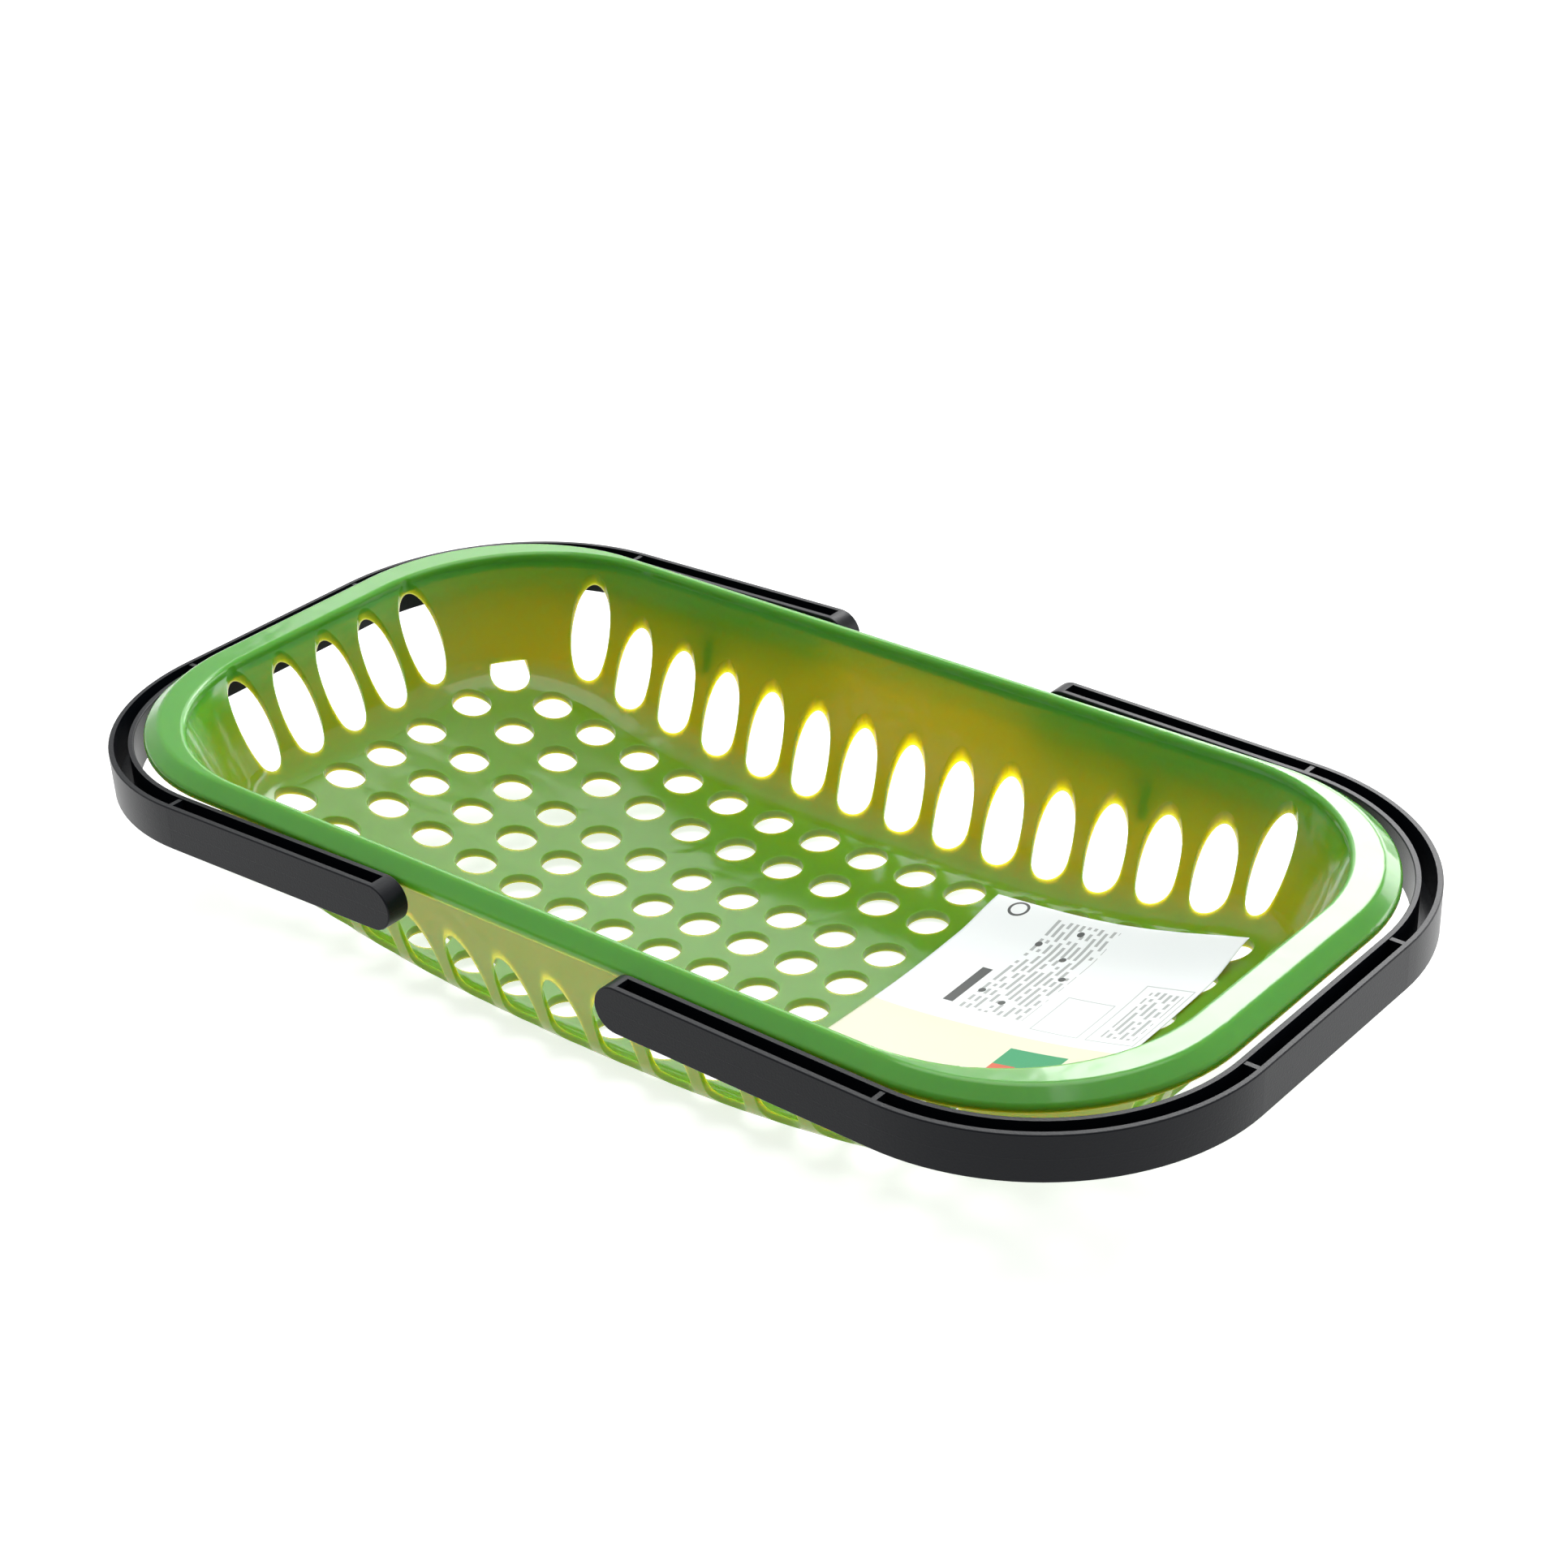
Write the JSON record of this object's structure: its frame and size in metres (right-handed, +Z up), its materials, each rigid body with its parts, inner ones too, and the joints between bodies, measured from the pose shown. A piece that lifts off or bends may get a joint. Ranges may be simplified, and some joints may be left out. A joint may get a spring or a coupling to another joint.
{
  "type": "hand basket",
  "caption": "Shallow boat-bottomed perforated hand basket in translucent green plastic with two dark folding bail handles and a paper label inside.",
  "frame": {"origin": "middle of the standing flat under the basket, on the surface it stands on", "axes": "+X along the basket's length, +Y across it, +Z up out of its mouth"},
  "size_m": [0.3102, 0.165, 0.0475],
  "materials": {
    "basket_polypropylene": "glossy moulded polypropylene, slightly translucent",
    "bail_polypropylene": "moulded polypropylene, fine satin texture",
    "label_paper": null
  },
  "bodies": {
    "basket": {"basket": "basket_polypropylene", "label": "label_paper"},
    "left_bail": {"left_bail": "bail_polypropylene"},
    "right_bail": {"right_bail": "bail_polypropylene"}
  },
  "joints": [
    {"name": "left_bail_hinge", "type": "hinge", "parent": "basket", "child": "left_bail", "pos_m": [-0.0351, 0, 0.04], "axis": [0, 1, 0], "range_deg": [0, 105.8]},
    {"name": "right_bail_hinge", "type": "hinge", "parent": "basket", "child": "right_bail", "pos_m": [0.0351, 0, 0.04], "axis": [0, -1, 0], "range_deg": [0, 105]}
  ]
}
